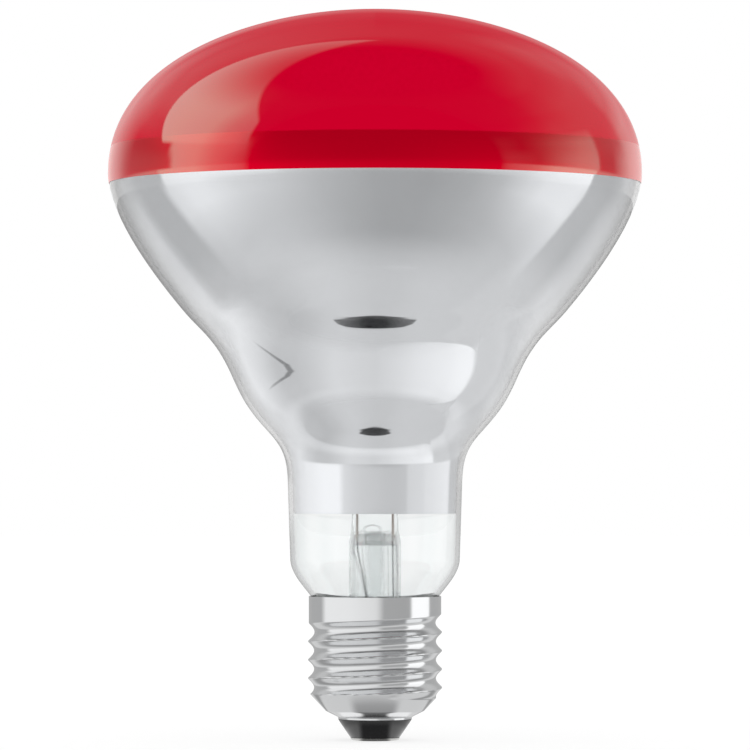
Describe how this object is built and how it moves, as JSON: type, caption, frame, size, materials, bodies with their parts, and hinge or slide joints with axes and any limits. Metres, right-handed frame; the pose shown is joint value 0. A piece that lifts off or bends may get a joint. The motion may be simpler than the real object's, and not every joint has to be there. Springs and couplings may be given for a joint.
{
  "type": "infrared heat lamp bulb",
  "caption": "Reflector heat lamp bulb: mushroom-shaped glass with a red front, a mirrored cone, a clear neck and a screw cap.",
  "frame": {"origin": "middle of the centre contact's flat face, on the lamp's axis", "axes": "+Z along the lamp's axis from the cap to the red front; -Y is the side seen in the picture; the side lead's solder is on +Y"},
  "size_m": [0.1052, 0.1052, 0.1437],
  "materials": {
    "clear_glass": "polished, clear",
    "red_lacquer": "high gloss, opaque red",
    "silvering": "bright mirror seen through the glass",
    "nickel_plate": "bright nickel plate on brass",
    "black_glass": "glossy black moulded glass",
    "contact_metal": "tinned brass",
    "solder": "satin solder",
    "cement": "matt cement",
    "nickel_wire": "drawn nickel wire",
    "copper_clad_wire": "copper-clad sealing wire",
    "lead_wire": "dark drawn wire",
    "molybdenum": "fine grey wire",
    "tungsten": "dark grey coiled wire"
  },
  "bodies": {
    "root": {"glass_envelope": "clear_glass", "red_coating": "red_lacquer", "mirror_coating": "silvering", "stem": "clear_glass", "exhaust_tube": "clear_glass", "support_rod": "clear_glass", "filament": "tungsten", "inner_lead_left": "nickel_wire", "inner_lead_right": "nickel_wire", "seal_wire_left": "copper_clad_wire", "seal_wire_right": "copper_clad_wire", "centre_lead": "lead_wire", "side_lead": "lead_wire", "capping_cement": "cement", "screw_shell": "nickel_plate", "insulator": "black_glass", "centre_contact": "contact_metal", "centre_solder": "solder", "side_solder": "solder", "support_hook_1": "molybdenum", "support_hook_2": "molybdenum", "support_hook_3": "molybdenum", "support_hook_4": "molybdenum", "support_hook_5": "molybdenum"}
  },
  "joints": []
}
